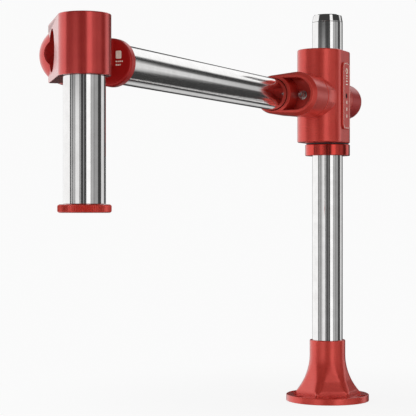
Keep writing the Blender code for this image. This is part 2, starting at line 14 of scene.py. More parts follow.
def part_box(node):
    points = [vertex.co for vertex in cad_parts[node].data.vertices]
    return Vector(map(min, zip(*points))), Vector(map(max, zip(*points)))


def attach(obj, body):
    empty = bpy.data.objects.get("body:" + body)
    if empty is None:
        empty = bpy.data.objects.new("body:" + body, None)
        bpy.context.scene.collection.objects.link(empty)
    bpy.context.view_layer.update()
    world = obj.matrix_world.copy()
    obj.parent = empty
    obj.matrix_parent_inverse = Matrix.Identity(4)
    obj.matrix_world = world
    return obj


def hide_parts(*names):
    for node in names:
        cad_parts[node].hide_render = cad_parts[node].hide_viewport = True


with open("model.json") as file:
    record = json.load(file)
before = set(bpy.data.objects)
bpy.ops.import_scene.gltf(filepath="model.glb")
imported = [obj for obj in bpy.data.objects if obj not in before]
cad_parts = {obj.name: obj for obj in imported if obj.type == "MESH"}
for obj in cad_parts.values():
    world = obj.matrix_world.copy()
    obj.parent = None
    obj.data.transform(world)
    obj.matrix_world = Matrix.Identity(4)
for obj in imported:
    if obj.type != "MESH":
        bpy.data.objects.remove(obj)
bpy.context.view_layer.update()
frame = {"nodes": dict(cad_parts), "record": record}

MM = 0.001
GAP = 0.3 * MM
UP = Vector((0.0, 0.0, 1.0))
RECORD = frame["record"]
JOINTS = {joint["name"]: joint for joint in RECORD["behaviour"]["joints"]}
BODY_OF = {node: body for body, nodes in RECORD["behaviour"]["bodies"].items() for node in nodes}
SLOT_OF = {part["node"]: part["material_slot"] for part in RECORD["subparts"]}

# Segments of round surfaces
FINE = 144
MEDIUM = 96
SMALL = 48

# Tubes
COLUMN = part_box("column_tube")
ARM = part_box("arm_tube")
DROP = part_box("drop_tube")
TUBE_R = (COLUMN[1].x - COLUMN[0].x) / 2
WALL = 2.0 * MM
BORE_R = TUBE_R - WALL
SPIGOT_R = BORE_R - GAP
FIT_R = TUBE_R + GAP
LINER_R = TUBE_R + 2.0 * MM
ARM_X = (ARM[0].x + ARM[1].x) / 2
ARM_Z = (ARM[0].z + ARM[1].z) / 2
DROP_X = (DROP[0].x + DROP[1].x) / 2
DROP_Y = (DROP[0].y + DROP[1].y) / 2

# Screws
GRUB_BORE_R = 2.8 * MM
SET_SCREW_R = 3.0 * MM
SET_SCREW_BORE_R = 3.3 * MM

# Base
FLANGE_R = 51.8 * MM
FLANGE_T = 8.0 * MM
SPOT_Z = 7.7 * MM
NECK_R = 22.3 * MM
NECK_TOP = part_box("base_flange")[1].z
SOCKET_FLOOR = COLUMN[0].z - GAP
FLARE_R = 69.0 * MM
FLARE_TOP = 58.0 * MM
BOLTS = 6
BOLT_CIRCLE_R = 45.0 * MM
BOLT_HOLE_R = 3.3 * MM
BOLT_FACE_R = 5.6 * MM
TOP_CAP_SPIGOT = 14.0 * MM
FACET_HALF_WIDTH = 19.0 * MM
FACET = ((34.6, 7.7), (34.6, 13.5), (28.0, 26.0), (25.4, 34.0), (23.4, 46.0))

# Collar and sleeve
HOUSING_R = 28.0 * MM
COLLAR_Z = (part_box("lock_collar")[0].z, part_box("lock_collar")[1].z)
SLEEVE_Z = (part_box("sleeve_housing")[0].z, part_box("sleeve_housing")[1].z)
SLEEVE_FRONT = -27.0 * MM
BOSS_R = 26.0 * MM
BOSS_END = -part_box("sleeve_housing")[0].y
REAR_R = 22.5 * MM
REAR_BOSS_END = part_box("sleeve_housing")[1].y
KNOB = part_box("lock_knob")
KNOB_Z = (KNOB[0].z + KNOB[1].z) / 2
KNOB_END = KNOB[1].y
KNOB_BORE_R = 5.3 * MM
KNOB_BORE_END = 59.1 * MM
KNOB_ROUND_R = 5.0 * MM
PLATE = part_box("side_plate")
PLATE_Y = (PLATE[0].y + PLATE[1].y) / 2
PLATE_Z = (PLATE[0].z + PLATE[1].z) / 2
PLATE_CORNER_R = 7.0 * MM

# Collar screw's hole in the collar
PINCH_BORE_R = 2.3 * MM
PINCH_BORE_END = 12.0 * MM
PINCH_HEAD_BORE_R = 3.8 * MM
PINCH_HEAD_START = 9.0 * MM

# Link block, measured along the arm from the column's axis
LINK_BACK = -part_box("link_block")[1].y
LINK_FACE = -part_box("link_block")[0].y
LINK_R = 26.2 * MM
LINK_TUBE_R = 23.2 * MM
POCKET_R = 19.2 * MM
POCKET_WALL_R = 23.5 * MM
POCKET_FLOOR = 85.0 * MM
PIVOT_R = 7.0 * MM
PIVOT_START = 30.0 * MM
PIVOT_END = 79.0 * MM
PIVOT_SCREW_BORE_R = 2.8 * MM
PIVOT_SCREW_SHANK_R = 2.5 * MM
PIVOT_SCREW_HEAD_R = 4.4 * MM
PIVOT_WASHER_R = 5.6 * MM
TUBE_START = -ARM[1].y - GAP

# End block
END_R = 22.8 * MM
END_ROUND_R = 2.4 * MM
PLUG_LENGTH = 46.0 * MM
END_BACK = -ARM[0].y + GAP
ARM_FACE = -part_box("end_badge")[1].y - GAP
PAD_R = 12.0 * MM
PAD_FACE = 23.0 * MM

# Head: along = from the rear edge to the drop tube, across = out from the arm
TILT = JOINTS["head_tilt"]
ACROSS = Vector(TILT["axis"]).normalized()
ALONG = UP.cross(ACROSS)
TILT_ALONG = 19.0 * MM
HEAD_START = Vector(TILT["pos_m"]) - ALONG * TILT_ALONG
HEAD_ALONG = (Vector((DROP_X, DROP_Y, 0.0)) - HEAD_START).dot(ALONG)
HEAD_ACROSS = (Vector((DROP_X, DROP_Y, 0.0)) - HEAD_START).dot(ACROSS)
HEAD_R = 23.8 * MM
HEAD_INNER = 25.0 * MM
HEAD_OUTER = HEAD_ACROSS + HEAD_R
HEAD_HALF = 27.5 * MM
CROSS_ALONG = 31.0 * MM
CROSS_R = 20.0 * MM
CROSS_FLOOR = 31.0 * MM
BULGE_R = 28.3 * MM
BULGE_CENTRE = (-1.5 * MM, 49.0 * MM)
BULGE_LENGTH = 17.0 * MM
BULGE_CURVE_R = 17.7 * MM
STUD_R = 4.0 * MM
STUD_START = 13.8 * MM

# Knurled cap
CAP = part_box("knurled_cap")
CAP_R = (CAP[1].x - CAP[0].x) / 2
CAP_HIGH = DROP[0].z - GAP
CAP_TEETH = 90
CAP_TOOTH = 0.8 * MM

# Camera: the view it takes, and the far point it looks at
CAMERA_AZIMUTH = math.radians(25.0)
CAMERA_DISTANCE = 1.761
CAMERA_SHIFT_LEFT = 0.1503
CAMERA_HEIGHT = 0.239
CAMERA_LENS = 121.15
CAMERA_RISE = 0.0048


def axes(x_axis, y_axis, z_axis, origin):
    """The placement whose local axes are the three given world directions."""
    turn = Matrix((x_axis, y_axis, z_axis)).transposed()
    return Matrix.Translation(origin) @ turn.to_4x4()


WORLD = Matrix.Identity(4)
FORWARD = axes((1, 0, 0), (0, 0, 1), (0, -1, 0), Vector((0, 0, ARM_Z)))
TUBE_FORWARD = axes((1, 0, 0), (0, 0, 1), (0, -1, 0), Vector((ARM_X, 0, ARM_Z)))
BACKWARD = axes((0, 0, 1), (1, 0, 0), (0, 1, 0), Vector((0, 0, KNOB_Z)))
SIDEWAYS = axes((0, 1, 0), (0, 0, 1), (1, 0, 0), Vector((0, PLATE_Y, PLATE_Z)))
HEAD_PLAN = axes(ALONG, -ACROSS, UP, HEAD_START)
TILT_SIDE = axes(ALONG, UP, ACROSS, HEAD_START + ALONG * TILT_ALONG)
CROSS_SIDE = axes(ALONG, UP, ACROSS, HEAD_START + ALONG * CROSS_ALONG)
HEAD_REAR = axes(UP, ACROSS, ALONG, HEAD_START)
DROP_DOWN = Matrix.Translation((DROP_X, DROP_Y, 0.0))


# ---------------------------------------------------------------- outlines and solids


def arc(centre, radius, start, end, steps):
    """Points on an arc in the plane, angles in degrees, both ends included."""
    points = []
    for i in range(steps + 1):
        angle = math.radians(start + (end - start) * i / steps)
        points.append((centre[0] + radius * math.cos(angle), centre[1] + radius * math.sin(angle)))
    return points


def eased(path, radius, closed=False, steps=4, least_turn=20.0):
    """The path with each real corner replaced by a short curve."""
    points = [Vector(p) for p in path]
    made = []
    for i, corner in enumerate(points):
        if not closed and i in (0, len(points) - 1):
            made.append(corner)
            continue
        before = points[i - 1] - corner
        after = points[(i + 1) % len(points)] - corner
        if before.length < 1e-9 or after.length < 1e-9:
            continue
        if math.degrees(math.pi - before.angle(after)) < least_turn:
            made.append(corner)
            continue
        start = corner + before.normalized() * min(radius, before.length * 0.45)
        end = corner + after.normalized() * min(radius, after.length * 0.45)
        for step in range(steps + 1):
            t = step / steps
            made.append(start * (1 - t) ** 2 + corner * 2 * t * (1 - t) + end * t ** 2)
    return [tuple(p) for p in made]


def circle(radius, z, count, centre=(0.0, 0.0)):
    return [(x, y, z) for x, y in arc(centre, radius, 0, 360, count)[:-1]]


def hexagon(radius, z, count):
    """A hexagon with `count` points spread along its six sides."""
    per_side = count // 6
    points = []
    for i in range(count):
        side, step = divmod(i, per_side)
        start = math.radians(60 * side)
        end = math.radians(60 * (side + 1))
        share = step / per_side
        x = radius * (math.cos(start) * (1 - share) + math.cos(end) * share)
        y = radius * (math.sin(start) * (1 - share) + math.sin(end) * share)
        points.append((x, y, z))
    return points


def two_circles(left, left_r, right, right_r, steps=60):
    """The outline that a belt makes round two circles on the local X axis."""
    lean = math.degrees(math.asin((right_r - left_r) / (right - left)))
    outline = arc((right, 0.0), right_r, -90 - lean, 90 + lean, steps)
    return outline + arc((left, 0.0), left_r, 90 + lean, 270 - lean, steps)


def rounded_rectangle(width, height, radius, steps=10):
    outline = []
    for i, (sx, sy) in enumerate(((1, 1), (-1, 1), (-1, -1), (1, -1))):
        corner = (sx * (width / 2 - radius), sy * (height / 2 - radius))
        outline += arc(corner, radius, 90 * i, 90 * i + 90, steps)
    return outline


def raised(outline, z):
    return [(x, y, z) for x, y in outline]


def rounded_ends(low, high, radius, steps=5):
    """(inset, z) levels of a slab whose two rims are quarter rounds."""
    levels = []
    for i in range(steps + 1):
        angle = math.radians(90 * i / steps)
        levels.append((radius * (1 - math.sin(angle)), low + radius * (1 - math.cos(angle))))
    return levels + [(inset, low + high - z) for inset, z in reversed(levels)]


def loft(name, rings, placement=WORLD, ring_shaped=False):
    """A closed solid through rings of equal length, capped unless it is ring shaped."""
    bm = bmesh.new()
    rows = [[bm.verts.new(point) for point in ring] for ring in rings]
    pairs = list(zip(rows, rows[1:]))
    if ring_shaped:
        pairs.append((rows[-1], rows[0]))
    else:
        bm.faces.new(list(reversed(rows[0])))
        bm.faces.new(rows[-1])
    for low, high in pairs:
        for i in range(len(low)):
            j = (i + 1) % len(low)
            bm.faces.new((low[i], low[j], high[j], high[i]))
    bmesh.ops.recalc_face_normals(bm, faces=bm.faces)
    bm.transform(placement)
    mesh = bpy.data.meshes.new(name)
    bm.to_mesh(mesh)
    bm.free()
    obj = bpy.data.objects.new(name, mesh)
    bpy.context.scene.collection.objects.link(obj)
    return obj


def turned(name, profile, placement=WORLD, count=FINE, ring_shaped=False, ease=0.5 * MM):
    """A solid of revolution about the local Z axis, through (radius, z) points, corners eased."""
    path = eased(profile, ease, closed=ring_shaped)
    return loft(name, [circle(radius, z, count) for radius, z in path], placement, ring_shaped)


def tube(name, low, high, placement, inner=BORE_R, outer=TUBE_R, ease=0.4 * MM):
    profile = [(inner, low), (outer, low), (outer, high), (inner, high)]
    return turned(name, profile, placement, FINE, True, ease)


def bore(radius, floor, mouth, placement, count=MEDIUM, centre=(0.0, 0.0), flare=0.5 * MM):
    """A drill with a flared mouth, which leaves the hole's rim eased."""
    rings = [circle(radius, floor, count, centre)]
    rings.append(circle(radius, mouth - flare, count, centre))
    rings.append(circle(radius + 0.3 * flare, mouth - 0.35 * flare, count, centre))
    rings.append(circle(radius + flare, mouth, count, centre))
    rings.append(circle(radius + flare, mouth + 4 * MM, count, centre))
    return loft("bore", rings, placement)


def peg(radius, low, high, placement, count=MEDIUM, centre=(0.0, 0.0)):
    return loft("peg", [circle(radius, low, count, centre), circle(radius, high, count, centre)], placement)


def block(x_range, y_range, z_range, placement=WORLD):
    corners = [(x_range[0], y_range[0]), (x_range[1], y_range[0])]
    corners += [(x_range[1], y_range[1]), (x_range[0], y_range[1])]
    return loft("block", [raised(corners, z_range[0]), raised(corners, z_range[1])], placement)


def combine(obj, operation, operands):
    """Applies exact Booleans one after another and removes the operands."""
    for operand in operands:
        modifier = obj.modifiers.new(operation.lower(), "BOOLEAN")
        modifier.operation = operation
        modifier.solver = "EXACT"
        modifier.object = operand
    depsgraph = bpy.context.evaluated_depsgraph_get()
    made = bpy.data.meshes.new_from_object(obj.evaluated_get(depsgraph))
    obj.modifiers.clear()
    obj.data = made
    for operand in operands:
        bpy.data.objects.remove(operand, do_unlink=True)
    return obj


def cut(obj, *cutters):
    return combine(obj, "DIFFERENCE", cutters)


def join(obj, *extras):
    return combine(obj, "UNION", extras)


def finish_piece(obj, node, look, covers=True, smooth=32.0):
    """Shades the piece, gives it the look, puts it on its node's body, and hides the node when it covers it.
    """
    mesh = obj.data
    mesh.name = obj.name
    mesh.shade_smooth()
    mesh.set_sharp_from_angle(angle=math.radians(smooth))
    mesh.materials.clear()
    mesh.materials.append(look)
    flat = obj.modifiers.new("flat faces stay flat", "WEIGHTED_NORMAL")
    flat.keep_sharp = True
    flat.weight = 80
    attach(obj, BODY_OF[node])
    if covers:
        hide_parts(node)
    return obj


# ---------------------------------------------------------------- materials


def new_material(name):
    made = bpy.data.materials.new(name)
    made.use_nodes = True
    tree = made.node_tree
    return made, tree, tree.nodes["Principled BSDF"]


def set_values(shader, **values):
    for name, value in values.items():
        socket = shader.inputs[name.replace("_", " ")]
        socket.default_value = (*value, 1.0) if isinstance(value, tuple) else value


def object_noise(tree, scale, detail=2.0, stretch=(1.0, 1.0, 1.0)):
    """Noise fixed to the piece, with `scale` cells to the metre, stretched along an axis."""
    coordinates = tree.nodes.new("ShaderNodeTexCoord")
    mapping = tree.nodes.new("ShaderNodeMapping")
    mapping.inputs["Scale"].default_value = stretch
    noise = tree.nodes.new("ShaderNodeTexNoise")
    noise.inputs["Scale"].default_value = scale
    noise.inputs["Detail"].default_value = detail
    tree.links.new(coordinates.outputs["Object"], mapping.inputs["Vector"])
    tree.links.new(mapping.outputs["Vector"], noise.inputs["Vector"])
    return noise.outputs["Fac"]


def colours_between(tree, factor, first, second, low=0.3, high=0.7):
    ramp = tree.nodes.new("ShaderNodeValToRGB")
    ramp.color_ramp.elements[0].position = low
    ramp.color_ramp.elements[0].color = (*first, 1.0)
    ramp.color_ramp.elements[1].position = high
    ramp.color_ramp.elements[1].color = (*second, 1.0)
    tree.links.new(factor, ramp.inputs["Fac"])
    return ramp.outputs["Color"]


def values_between(tree, factor, first, second, low=0.3, high=0.7):
    remap = tree.nodes.new("ShaderNodeMapRange")
    for name, value in (("From Min", low), ("From Max", high), ("To Min", first), ("To Max", second)):
        remap.inputs[name].default_value = value
    tree.links.new(factor, remap.inputs["Value"])
    return remap.outputs["Result"]


def bumped(tree, shader, height, strength, distance):
    bump = tree.nodes.new("ShaderNodeBump")
    bump.inputs["Strength"].default_value = strength
    bump.inputs["Distance"].default_value = distance
    tree.links.new(height, bump.inputs["Height"])
    tree.links.new(bump.outputs["Normal"], shader.inputs["Normal"])


def finish_material(name, colours, roughness, grain, stretch=(1.0, 1.0, 1.0), bump=0.0, **values):
    """A Principled finish whose colour and roughness wander a little over the surface."""
    made, tree, shader = new_material(name)
    set_values(shader, **values)
    broad = object_noise(tree, grain * 0.06, 3.0)
    tree.links.new(colours_between(tree, broad, *colours), shader.inputs["Base Color"])
    fine = object_noise(tree, grain, 2.0, stretch)
    tree.links.new(values_between(tree, fine, *roughness), shader.inputs["Roughness"])
    if bump:
        bumped(tree, shader, fine, bump, 0.03 * MM)
    return made


LENGTHWISE_Z = (1.0, 1.0, 0.012)
LENGTHWISE_Y = (1.0, 0.012, 1.0)
POLISHED = ((0.80, 0.79, 0.785), (0.88, 0.875, 0.87))

RED = finish_material(
    "red_blasted_anodised", ((0.68, 0.043, 0.029), (0.74, 0.060, 0.040)), (0.26, 0.33), 1400.0,
    bump=0.22, Metallic=0.45, Coat_Weight=0.55, Coat_Roughness=0.28, Coat_IOR=1.5,
)
# The same red anodising with a darker base colour, on the head clamp only: painted shade for the head's own
# lighting
RED_HEAD_PAINTED_SHADE = finish_material(
    "red_anodised_head_painted_shade", ((0.62, 0.034, 0.028), (0.68, 0.046, 0.036)), (0.20, 0.26), 1400.0,
    bump=0.12, Metallic=0.60, Coat_Weight=0.7, Coat_Roughness=0.22, Coat_IOR=1.6,
)
RED_GLOSSY = finish_material(
    "red_polished_anodised", ((0.66, 0.045, 0.032), (0.72, 0.060, 0.042)), (0.15, 0.20), 1200.0,
    bump=0.06, Metallic=0.85, Coat_Weight=0.4, Coat_Roughness=0.18, Coat_IOR=1.5,
)
# The same red anodising with a much darker base colour, on the lock knob and the end block: painted shade
RED_PAINTED_SHADE_DARK = finish_material(
    "red_anodised_painted_shade_dark", ((0.48, 0.016, 0.014), (0.52, 0.020, 0.017)), (0.30, 0.38), 1200.0,
    bump=0.12, Metallic=0.45, Coat_Weight=0.2, Coat_Roughness=0.30, Coat_IOR=1.45,
)
POLISH_UPRIGHT = finish_material(
    "polished_steel_upright", POLISHED, (0.05, 0.10), 1600.0, LENGTHWISE_Z, 0.04, Metallic=1.0,
)
POLISH_ARM = finish_material(
    "polished_steel_arm", POLISHED, (0.07, 0.13), 1600.0, LENGTHWISE_Y, 0.05, Metallic=1.0,
)
BLACK_OXIDE = finish_material(
    "black_oxide_steel", ((0.018, 0.018, 0.020), (0.045, 0.044, 0.046)), (0.30, 0.45), 1200.0,
    bump=0.2, Metallic=0.7,
)
ZINC = finish_material(
    "bright_zinc_steel", ((0.60, 0.58, 0.56), (0.74, 0.72, 0.70)), (0.18, 0.30), 1500.0,
    bump=0.12, Metallic=1.0,
)
POLYMER = finish_material(
    "black_acetal", ((0.030, 0.030, 0.033), (0.055, 0.055, 0.060)), (0.42, 0.58), 1000.0, bump=0.25,
)
BRASS = finish_material(
    "turned_brass", ((0.62, 0.43, 0.17), (0.74, 0.54, 0.24)), (0.22, 0.36), 1100.0,
    bump=0.15, Metallic=1.0,
)
ENAMEL = finish_material(
    "pale_enamel", ((0.90, 0.84, 0.68), (0.96, 0.92, 0.82)), (0.35, 0.5), 900.0, bump=0.1,
)
SLOT_LOOKS = {
    "red": RED,
    "polished_tube": POLISH_UPRIGHT,
    "black_steel": BLACK_OXIDE,
    "zinc_steel": ZINC,
    "polymer": POLYMER,
    "brass": BRASS,
    "pale_enamel": ENAMEL,
}


# ---------------------------------------------------------------- pieces


def flare_radius(z):
    """The base's concave flank, between the flange and the neck."""
    if z >= FLARE_TOP:
        return NECK_R
    return NECK_R + FLARE_R - math.sqrt(FLARE_R ** 2 - (FLARE_TOP - z) ** 2)


def facet_distance(z):
    """How far the flat on each flank lies from the axis at this height."""
    for (near, low), (far, high) in zip(FACET, FACET[1:]):
        if z <= high * MM:
            share = max(0.0, (z - low * MM) / ((high - low) * MM))
            return (near + (far - near) * share) * MM
    return 1.0


def soft_min(a, b, blend):
    """The smaller of two lengths, with a rounded change from one to the other."""
    share = max(blend - abs(a - b), 0.0) / blend
    return min(a, b) - share * share * blend / 4


def flank_ring(z, count):
    """One level of the flank: flats between ribs, their edges rounded."""
    pitch = 2 * math.pi / BOLTS
    points = []
    for i in range(count):
        angle = 2 * math.pi * i / count
        lean = (angle + pitch / 2) % pitch - pitch / 2
        flare = flare_radius(z)
        flat = facet_distance(z) / math.cos(lean)
        side = abs(flat * math.sin(lean))
        radius = soft_min(flare, flat, 1.1 * MM) if z < 46 * MM else flare
        if side > FACET_HALF_WIDTH:
            into_rib = min(1.0, (side - FACET_HALF_WIDTH) / (1.2 * MM))
            radius += (flare - radius) * into_rib * into_rib * (3 - 2 * into_rib)
        points.append((radius * math.cos(angle), radius * math.sin(angle), z))
    return points


def make_base():
    count = 360
    rings = [circle(FIT_R, SOCKET_FLOOR, count), circle(FIT_R, NECK_TOP - 0.6 * MM, count)]
    rings += [circle(FIT_R + 0.6 * MM, NECK_TOP, count), circle(NECK_R - 1.0 * MM, NECK_TOP, count)]
    for x, z in arc((NECK_R - 0.8 * MM, NECK_TOP - 0.8 * MM), 0.8 * MM, 75, 0, 4):
        rings.append(circle(x, z, count))
    levels = 44
    for i in range(levels + 1):
        share = i / levels
        z = FLARE_TOP + (FLANGE_T - FLARE_TOP) * share
        rings.append(flank_ring(z, count))
    foot = [(FLANGE_R - 0.9 * MM, FLANGE_T)] + arc(
        (FLANGE_R - 0.8 * MM, FLANGE_T - 0.8 * MM), 0.8 * MM, 75, 0, 4
    )
    foot += arc((FLANGE_R - 0.6 * MM, 0.6 * MM), 0.6 * MM, 0, -90, 4)
    for x, z in foot:
        rings.append(circle(x, z, count))
    base = loft("base_flange_surface", rings)
    cutters = []
    for i in range(BOLTS):
        angle = 2 * math.pi * i / BOLTS
        centre = (BOLT_CIRCLE_R * math.cos(angle), BOLT_CIRCLE_R * math.sin(angle))
        cutters.append(peg(BOLT_HOLE_R, -5 * MM, 20 * MM, WORLD, SMALL, centre))
        cutters.append(peg(BOLT_FACE_R, SPOT_Z - 0.5 * MM, SPOT_Z + 6 * MM, WORLD, SMALL, centre))
    screw_z = (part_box("base_grub_screw_1")[0].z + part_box("base_grub_screw_1")[1].z) / 2
    rear = axes((0, 0, 1), (1, 0, 0), (0, 1, 0), Vector((0, 0, screw_z)))
    left = axes((0, 1, 0), (0, 0, -1), (-1, 0, 0), Vector((0, 0, screw_z)))
    for place in (rear, left):
        cutters.append(bore(GRUB_BORE_R, BORE_R, NECK_R, place, SMALL, flare=0.4 * MM))
    cut(base, *cutters)
    finish_piece(base, "base_flange", RED, smooth=28.0)


def make_tubes():
    low, high = COLUMN[0].z, COLUMN[1].z
    finish_piece(tube("column_tube_surface", low, high, WORLD), "column_tube", POLISH_UPRIGHT)
    low, high = -ARM[1].y, -ARM[0].y
    finish_piece(tube("arm_tube_surface", low, high, TUBE_FORWARD), "arm_tube", POLISH_ARM)
    low, high = DROP[0].z, DROP[1].z
    finish_piece(tube("drop_tube_surface", low, high, DROP_DOWN), "drop_tube", POLISH_UPRIGHT)
    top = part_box("column_top_cap")
    shoulder = top[0].z + TOP_CAP_SPIGOT
    profile = [(SPIGOT_R, top[0].z), (SPIGOT_R, shoulder), (TUBE_R, shoulder)]
    profile += [(TUBE_R, shoulder + 1 * MM), (TUBE_R - 1.4 * MM, top[1].z - 0.8 * MM)]
    profile += [(TUBE_R - 2.2 * MM, top[1].z)]
    cap = turned("column_top_cap_surface", profile, ease=0.25 * MM)
    finish_piece(cap, "column_top_cap", POLISH_UPRIGHT)


def make_collar():
    low, high = COLLAR_Z
    collar = tube("lock_collar_surface", low, high, WORLD, FIT_R, HOUSING_R, 1.1 * MM)
    middle = (low + high) / 2
    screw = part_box("collar_screw")
    screw_y = (screw[0].y + screw[1].y) / 2
    slit = block((-1 * MM, 1 * MM), (15 * MM, 35 * MM), (low - 0.01, high + 0.01))
    place = axes((0, 1, 0), (0, 0, 1), (1, 0, 0), Vector((0, screw_y, middle)))
    hole = peg(PINCH_BORE_R, -PINCH_BORE_END, PINCH_BORE_END, place, SMALL)
    cut(collar, slit, hole, peg(PINCH_HEAD_BORE_R, PINCH_HEAD_START, HOUSING_R, place, SMALL))
    finish_piece(collar, "lock_collar", RED_GLOSSY)


def make_sleeve():
    low, high = SLEEVE_Z
    turn = Matrix.Rotation(math.radians(90), 4, "Z")
    rings = []
    for inset, z in rounded_ends(low, high, 1.5 * MM):
        rings.append(raised(two_circles(SLEEVE_FRONT, HOUSING_R - inset, 0.0, HOUSING_R - inset), z))
    housing = loft("sleeve_housing_surface", rings, turn)
    bosses = []
    for name, radius, start, end, place in (
        ("front boss", BOSS_R, 35 * MM, BOSS_END, FORWARD),
        ("rear boss", REAR_R, 12 * MM, REAR_BOSS_END, BACKWARD),
    ):
        profile = [(radius, start), (radius, end), (PIVOT_R - 2 * MM, end)]
        bosses.append(turned(name, profile, place, ease=1 * MM))
    join(housing, *bosses)
    cut(
        housing,
        peg(LINER_R + GAP, low - 0.01, high + 0.01, WORLD, FINE),
        peg(PIVOT_R + GAP, PIVOT_START - GAP, BOSS_END + 5 * MM, FORWARD),
        peg(KNOB_BORE_R, BORE_R - 2 * MM, REAR_BOSS_END + 5 * MM, BACKWARD, SMALL),
        peg(SET_SCREW_BORE_R, BORE_R - 5 * MM, HOUSING_R + 5 * MM, SIDEWAYS, SMALL),
    )
    finish_piece(housing, "sleeve_housing", RED)


def make_side_plate():
    """The plate on the sleeve's side, its set screw and the plain marks on it."""
    low, high = PLATE[0].x, PLATE[1].x
    width, height = PLATE[1].y - PLATE[0].y, PLATE[1].z - PLATE[0].z
    edge = 0.7 * MM
    levels = [(0.0, low)] + rounded_ends(low, high, edge)[6:]
    rings = []
    for inset, z in levels:
        outline = rounded_rectangle(width - 2 * inset, height - 2 * inset, PLATE_CORNER_R - inset)
        rings.append(raised(outline, z))
    plate = loft("side_plate_surface", rings, SIDEWAYS)
    cut(plate, bore(SET_SCREW_BORE_R, low - 5 * MM, high, SIDEWAYS, SMALL, flare=0.5 * MM))
    finish_piece(plate, "side_plate", RED)
    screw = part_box("side_set_screw")
    drive = socket("side_set_screw_surface", SIDEWAYS, SET_SCREW_R, screw[0].x, screw[1].x, 1.55 * MM)
    finish_piece(drive, "side_set_screw", BLACK_OXIDE)
    rim = []
    for inset, z in ((1.5, 0.0), (1.5, 0.12), (1.9, 0.12), (1.9, 0.0)):
        inset *= MM
        outline = rounded_rectangle(width - 2 * inset, height - 2 * inset, PLATE_CORNER_R - inset)
        rim.append(raised(outline, high - 0.05 * MM + z * MM))
    mark(loft("side_plate_rim_line", rim, SIDEWAYS, ring_shaped=True), "side_plate")
    face = high - 0.05 * MM
    ring_mark = [(2.3 * MM, face), (3.4 * MM, face), (3.4 * MM, face + 0.2 * MM), (2.3 * MM, face + 0.2 * MM)]
    place = SIDEWAYS @ Matrix.Translation((0.0, 30.8 * MM, 0.0))
    mark(turned("side_plate_ring_mark", ring_mark, place, SMALL, True, 0.05 * MM), "side_plate")
    bars = [(0.0, 24.6, 5.6, 1.2), (0.0, 21.6, 3.4, 1.2), (0.0, 18.2, 5.6, 1.2), (0.0, 14.2, 5.6, 1.2)]
    bars += [(0.0, -8.0, 2.0, 4.2), (0.0, -16.5, 2.0, 4.2), (0.0, -25.0, 2.0, 4.2)]
    for number, (x, y, bar_width, bar_height) in enumerate(bars, 1):
        place = SIDEWAYS @ Matrix.Translation((x * MM, y * MM, 0.0))
        mark(bar(f"side_plate_mark_{number}", bar_width * MM, bar_height * MM, face, place), "side_plate")


def bar(name, width, height, face, placement):
    """A small flat mark with round ends."""
    radius = min(width, height) * 0.42
    rings = []
    for inset, z in ((0.0, 0.0), (0.0, 0.16 * MM), (0.08 * MM, 0.22 * MM)):
        outline = rounded_rectangle(width - 2 * inset, height - 2 * inset, radius - inset, 5)
        rings.append(raised(outline, face + z))
    return loft(name, rings, placement)


def mark(obj, node):
    finish_piece(obj, node, ENAMEL, covers=False)
    return obj


def socket(name, placement, radius, low, high, socket_r, depth=2.4 * MM):
    """A headless screw, or a screw head, with a hexagon socket in its top."""
    ease = 0.35 * MM
    rings = [circle(radius - ease, low, SMALL), circle(radius, low + ease, SMALL)]
    for x, z in arc((radius - ease, high - ease), ease, 0, 90, 4):
        rings.append(circle(x, z, SMALL))
    rings.append(circle(socket_r * 1.12, high, SMALL))
    rings.append(hexagon(socket_r, high - 0.3 * MM, SMALL))
    rings.append(hexagon(socket_r, high - depth, SMALL))
    return loft(name, rings, placement)


def make_lock_knob():
    near = REAR_BOSS_END + GAP
    profile = [(KNOB_BORE_R, KNOB_BORE_END), (KNOB_BORE_R, near), (REAR_R, near)]
    profile += arc((REAR_R - KNOB_ROUND_R, KNOB_END - KNOB_ROUND_R), KNOB_ROUND_R, 0, 90, 14)
    knob = turned("lock_knob_surface", profile, BACKWARD, ease=0.6 * MM)
    finish_piece(knob, "lock_knob", RED_PAINTED_SHADE_DARK)


def pocket_outline(grow=0.0):
    """Round on the right, hollowed on the left to follow the tube's wall."""
    right_r = POCKET_R + grow
    wall_r = POCKET_WALL_R - grow
    meet = math.degrees(math.asin(min(1.0, right_r / wall_r)))
    outline = arc((0.0, 0.0), right_r, -90, 90, 48)
    return outline + arc((ARM_X, 0.0), wall_r, meet, -meet, 32)


